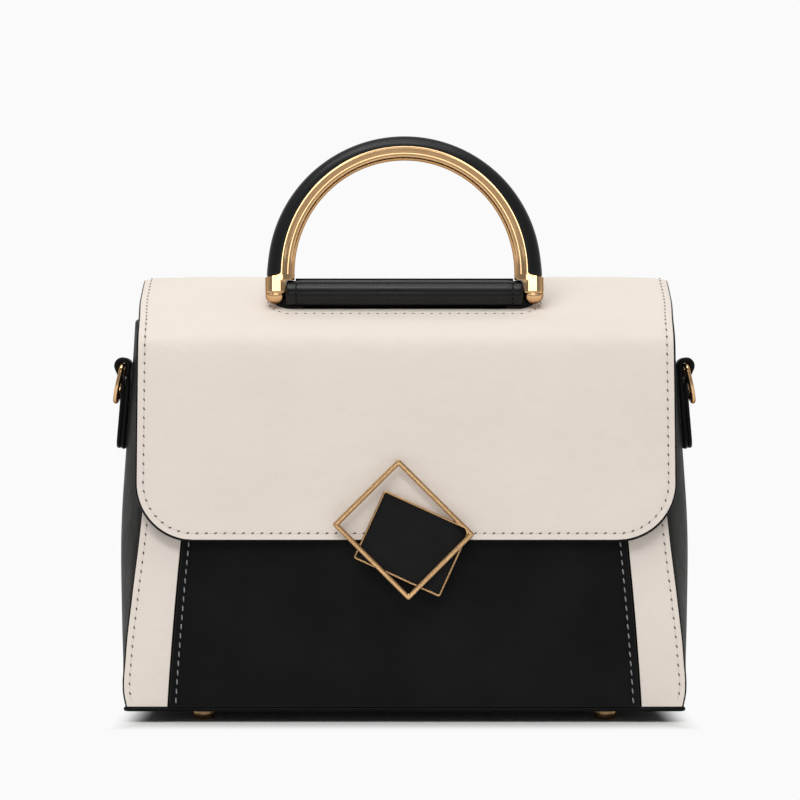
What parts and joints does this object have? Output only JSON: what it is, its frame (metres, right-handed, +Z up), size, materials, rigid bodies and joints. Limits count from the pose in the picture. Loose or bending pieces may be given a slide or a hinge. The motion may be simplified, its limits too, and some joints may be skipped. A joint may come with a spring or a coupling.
{
  "type": "top-handle flap satchel",
  "caption": "Structured two-tone leather satchel with a fold-over flap, D-shaped metal top handle, tilted square clasp, side D-rings and metal feet.",
  "frame": {"origin": "on the floor under the middle of the bag, clasp included", "axes": "+X to the bag's right as seen from the front, +Y to the back, +Z up; the flap and clasp face -Y"},
  "size_m": [0.2776, 0.1143, 0.2739],
  "materials": {
    "cream_leather": "smooth satin",
    "black_leather": "smooth satin",
    "gusset_leather": "smooth matte",
    "gold_metal": "polished",
    "black_enamel": "satin"
  },
  "bodies": {
    "bag": {"front_panel": "black_leather", "back_panel": "black_leather", "base_panel": "black_leather", "handle_seat": "black_leather", "handle_sleeve": "black_leather", "strap_tab_left": "black_leather", "strap_tab_right": "black_leather", "front_strip_left": "cream_leather", "front_strip_right": "cream_leather", "flap": "cream_leather", "gusset_left": "gusset_leather", "gusset_right": "gusset_leather", "foot_front_left": "gold_metal", "foot_front_right": "gold_metal", "foot_back_left": "gold_metal", "foot_back_right": "gold_metal", "clasp_frame": "gold_metal", "clasp_inlay": "black_enamel"},
    "handle": {"handle_frame": "gold_metal", "handle_grip": "black_leather"},
    "ring_left": {"strap_ring_left": "gold_metal"},
    "ring_right": {"strap_ring_right": "gold_metal"}
  },
  "joints": [
    {"name": "handle_fold", "type": "hinge", "parent": "bag", "child": "handle", "pos_m": [0, -0.01385, 0.1991], "axis": [1, 0, 0], "range_deg": [-66, 112]},
    {"name": "ring_left_swing", "type": "hinge", "parent": "bag", "child": "ring_left", "pos_m": [-0.1341, 0.00115, 0.1649], "axis": [0, 1, 0], "range_deg": [0, 165]},
    {"name": "ring_right_swing", "type": "hinge", "parent": "bag", "child": "ring_right", "pos_m": [0.1341, 0.00115, 0.1649], "axis": [0, -1, 0], "range_deg": [0, 165]}
  ]
}
